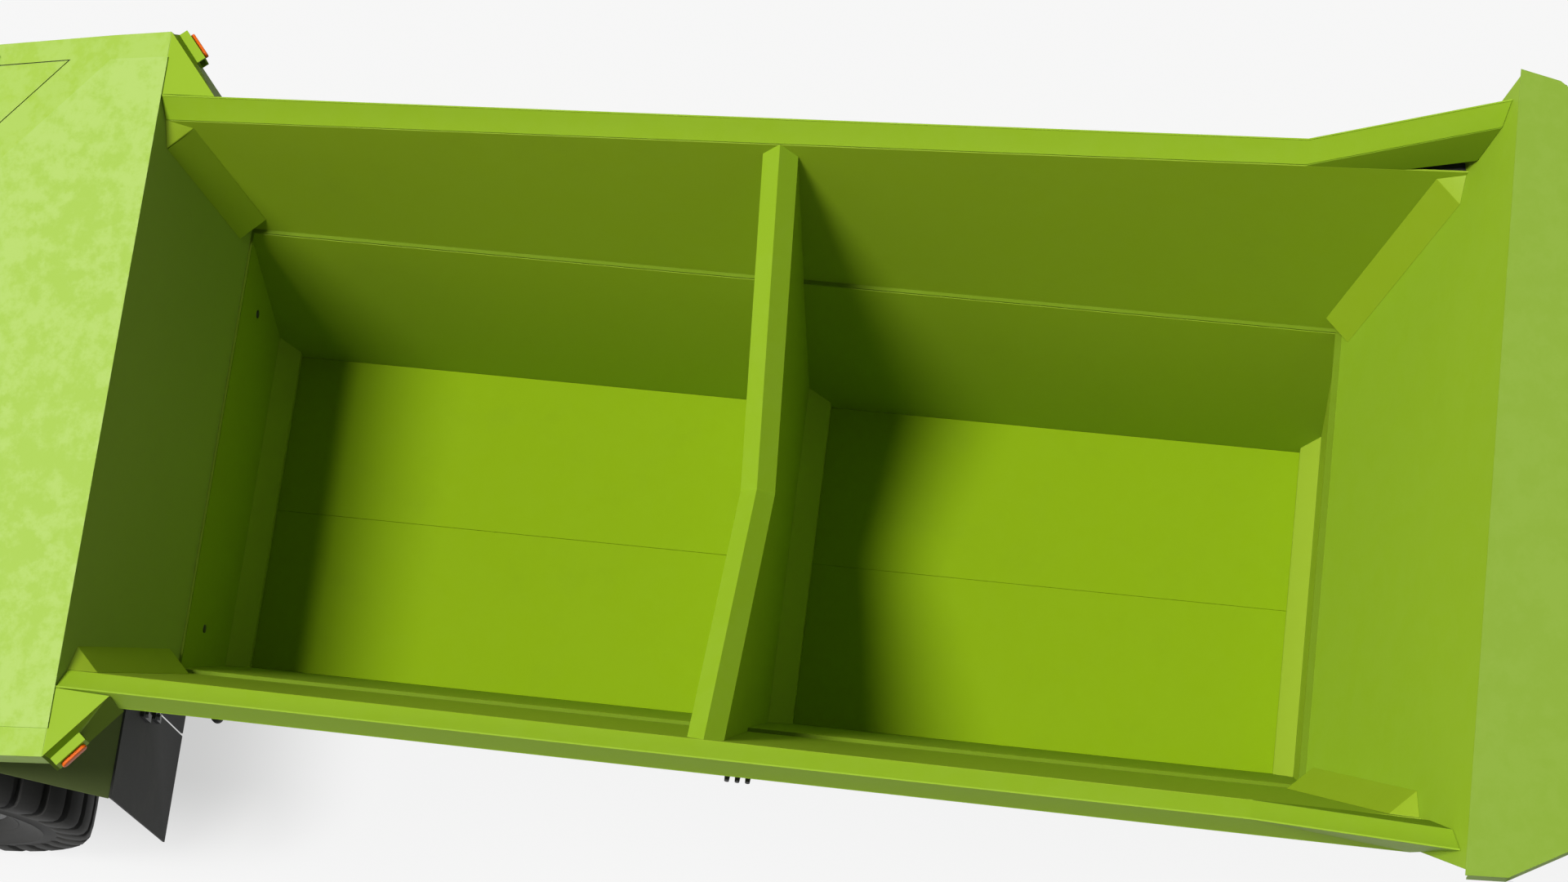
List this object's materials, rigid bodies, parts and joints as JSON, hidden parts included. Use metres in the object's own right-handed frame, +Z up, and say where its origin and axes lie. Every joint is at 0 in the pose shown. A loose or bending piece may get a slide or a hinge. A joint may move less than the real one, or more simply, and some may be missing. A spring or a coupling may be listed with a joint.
{
  "type": "gravity wagon",
  "caption": "Lime-green four-wheel gravity wagon: a two-compartment hopper between front and rear hoods, hinged floor doors, steering front axle and drawbar.",
  "frame": {"origin": "on the ground below the middle of the wagon's length and width", "axes": "+X to the rear, +Y to the right-hand side facing forward, +Z up"},
  "size_m": [9.367, 2.576, 2.9152],
  "materials": {
    "lime_paint": "glossy lime-green enamel on welded sheet and tube",
    "running_gear_paint": "black chassis enamel",
    "bare_steel": "turned and drawn steel, oiled",
    "tyre_rubber": "ribbed flotation tyre, dusty",
    "wheel_paint": "silver wheel enamel",
    "flap_rubber": "matt cut rubber sheet",
    "amber_lens": "translucent amber lens",
    "lever_black": "black moulded knobs on steel rods"
  },
  "bodies": {
    "root": {"tub_side_left": "lime_paint", "tub_side_right": "lime_paint", "tub_ends": "lime_paint", "ledge_frame": "lime_paint", "upper_side_left": "lime_paint", "upper_side_right": "lime_paint", "front_end_wall": "lime_paint", "rear_end_wall": "lime_paint", "rim_left": "lime_paint", "rim_right": "lime_paint", "divider": "lime_paint", "divider_cap": "lime_paint", "foot_strips": "lime_paint", "corner_gussets": "lime_paint", "side_stakes": "lime_paint", "front_hood": "lime_paint", "rear_hood": "lime_paint", "fender_left": "lime_paint", "fender_right": "lime_paint", "mud_flaps": "flap_rubber", "lamp_lenses": "amber_lens", "side_sill_left": "lime_paint", "side_sill_right": "lime_paint", "cross_beams": "lime_paint", "frame_rails": "lime_paint", "end_posts": "lime_paint", "bolster": "lime_paint", "rear_axle": "running_gear_paint", "hinge_pins": "bare_steel", "door_cylinders": "running_gear_paint", "control_valve": "running_gear_paint"},
    "front_axle": {"front_axle": "running_gear_paint"},
    "knuckle_left": {"knuckle_left": "running_gear_paint"},
    "knuckle_right": {"knuckle_right": "running_gear_paint"},
    "tie_rod": {"tie_rod": "bare_steel"},
    "tongue": {"tongue_yoke": "lime_paint"},
    "drawbar": {"drawbar": "lime_paint", "towing_eye": "bare_steel"},
    "jack": {"jack_leg": "bare_steel"},
    "wheel_front_left": {"tyre_front_left": "tyre_rubber", "wheel_front_left": "wheel_paint"},
    "door_front_left": {"door_front_left": "lime_paint"},
    "rod_front_left": {"rod_front_left": "bare_steel"},
    "wheel_front_right": {"tyre_front_right": "tyre_rubber", "wheel_front_right": "wheel_paint"},
    "door_front_right": {"door_front_right": "lime_paint"},
    "rod_front_right": {"rod_front_right": "bare_steel"},
    "wheel_rear_left": {"tyre_rear_left": "tyre_rubber", "wheel_rear_left": "wheel_paint"},
    "door_rear_left": {"door_rear_left": "lime_paint"},
    "rod_rear_left": {"rod_rear_left": "bare_steel"},
    "wheel_rear_right": {"tyre_rear_right": "tyre_rubber", "wheel_rear_right": "wheel_paint"},
    "door_rear_right": {"door_rear_right": "lime_paint"},
    "rod_rear_right": {"rod_rear_right": "bare_steel"},
    "lever_front_doors": {"lever_front_doors": "lever_black"},
    "lever_rear_doors": {"lever_rear_doors": "lever_black"},
    "lever_jack": {"lever_jack": "lever_black"},
    "hatch_left": {"hood_hatch_left": "lime_paint"},
    "hatch_right": {"hood_hatch_right": "lime_paint"}
  },
  "joints": [
    {"name": "axle_rock", "type": "hinge", "parent": "root", "child": "front_axle", "pos_m": [-2.7035, 0, 0.79], "axis": [1, 0, 0], "range_deg": [-6, 6]},
    {"name": "tongue_swing", "type": "hinge", "parent": "front_axle", "child": "tongue", "pos_m": [-2.8535, 0, 0.672], "axis": [0, 0, 1], "range_deg": [-50, 50]},
    {"name": "steer_left", "type": "hinge", "parent": "front_axle", "child": "knuckle_left", "pos_m": [-2.7035, -0.6, 0.672], "axis": [0, 0, 1], "range_deg": [-20.5, 20.5]},
    {"name": "steer_right", "type": "hinge", "parent": "front_axle", "child": "knuckle_right", "pos_m": [-2.7035, 0.6, 0.672], "axis": [0, 0, 1], "range_deg": [-20.5, 20.5]},
    {"name": "tie_rod_turn", "type": "hinge", "parent": "knuckle_left", "child": "tie_rod", "pos_m": [-2.9635, -0.6, 0.545], "axis": [0, 0, 1], "range_deg": [-20.5, 20.5]},
    {"name": "spin_front_left", "type": "hinge", "parent": "knuckle_left", "child": "wheel_front_left", "pos_m": [-2.7035, -0.975, 0.672], "axis": [0, 1, 0], "continuous": true},
    {"name": "spin_front_right", "type": "hinge", "parent": "knuckle_right", "child": "wheel_front_right", "pos_m": [-2.7035, 0.975, 0.672], "axis": [0, 1, 0], "continuous": true},
    {"name": "spin_rear_left", "type": "hinge", "parent": "root", "child": "wheel_rear_left", "pos_m": [4.0115, -0.975, 0.672], "axis": [0, 1, 0], "continuous": true},
    {"name": "spin_rear_right", "type": "hinge", "parent": "root", "child": "wheel_rear_right", "pos_m": [4.0115, 0.975, 0.672], "axis": [0, 1, 0], "continuous": true},
    {"name": "drawbar_lift", "type": "hinge", "parent": "tongue", "child": "drawbar", "pos_m": [-3.0335, 0, 0.672], "axis": [0, 1, 0], "range_deg": [-6, 40]},
    {"name": "jack_slide", "type": "slide", "parent": "drawbar", "child": "jack", "axis": [0, 0, 1], "range_m": [0, 0.28]},
    {"name": "swing_door_front_left", "type": "hinge", "parent": "root", "child": "door_front_left", "pos_m": [-0.6285, -0.622, 0.795], "axis": [-1, 0, 0], "range_deg": [0, 60]},
    {"name": "swing_door_front_right", "type": "hinge", "parent": "root", "child": "door_front_right", "pos_m": [-0.6285, 0.622, 0.795], "axis": [1, 0, 0], "range_deg": [0, 60]},
    {"name": "swing_door_rear_left", "type": "hinge", "parent": "root", "child": "door_rear_left", "pos_m": [1.3715, -0.622, 0.795], "axis": [-1, 0, 0], "range_deg": [0, 60]},
    {"name": "swing_door_rear_right", "type": "hinge", "parent": "root", "child": "door_rear_right", "pos_m": [1.3715, 0.622, 0.795], "axis": [1, 0, 0], "range_deg": [0, 60]},
    {"name": "stroke_front_left", "type": "slide", "parent": "root", "child": "rod_front_left", "axis": [0, -1, 0], "range_m": [0, 0.1734]},
    {"name": "stroke_front_right", "type": "slide", "parent": "root", "child": "rod_front_right", "axis": [0, 1, 0], "range_m": [0, 0.1734]},
    {"name": "stroke_rear_left", "type": "slide", "parent": "root", "child": "rod_rear_left", "axis": [0, -1, 0], "range_m": [0, 0.1734]},
    {"name": "stroke_rear_right", "type": "slide", "parent": "root", "child": "rod_rear_right", "axis": [0, 1, 0], "range_m": [0, 0.1734]},
    {"name": "tip_lever_front_doors", "type": "hinge", "parent": "root", "child": "lever_front_doors", "pos_m": [0.3165, -0.78, 0.985], "axis": [1, 0, 0], "range_deg": [-20, 20], "stiffness_Nm_per_rad": 3},
    {"name": "tip_lever_rear_doors", "type": "hinge", "parent": "root", "child": "lever_rear_doors", "pos_m": [0.3535, -0.78, 0.985], "axis": [1, 0, 0], "range_deg": [-20, 20], "stiffness_Nm_per_rad": 3},
    {"name": "tip_lever_jack", "type": "hinge", "parent": "root", "child": "lever_jack", "pos_m": [0.3905, -0.78, 0.985], "axis": [1, 0, 0], "range_deg": [-20, 20], "stiffness_Nm_per_rad": 3},
    {"name": "lift_hatch_left", "type": "hinge", "parent": "root", "child": "hatch_left", "pos_m": [-2.3485, -1.189, 2.06745], "axis": [0.9285, 0, 0.3714], "range_deg": [0, 70]},
    {"name": "lift_hatch_right", "type": "hinge", "parent": "root", "child": "hatch_right", "pos_m": [-2.3485, 1.189, 2.06745], "axis": [-0.9285, 0, -0.3714], "range_deg": [0, 70]}
  ],
  "couplings": [
    {"joint": "steer_left", "follows": "tongue_swing", "ratio": 0.4},
    {"joint": "steer_right", "follows": "tongue_swing", "ratio": 0.4},
    {"joint": "tie_rod_turn", "follows": "tongue_swing", "ratio": -0.4},
    {"joint": "swing_door_front_right", "follows": "swing_door_front_left", "ratio": 1},
    {"joint": "stroke_front_left", "follows": "swing_door_front_left", "m_per_rad": 0.16545},
    {"joint": "stroke_front_right", "follows": "swing_door_front_left", "m_per_rad": 0.16545},
    {"joint": "swing_door_rear_right", "follows": "swing_door_rear_left", "ratio": 1},
    {"joint": "stroke_rear_left", "follows": "swing_door_rear_left", "m_per_rad": 0.16545},
    {"joint": "stroke_rear_right", "follows": "swing_door_rear_left", "m_per_rad": 0.16545}
  ]
}
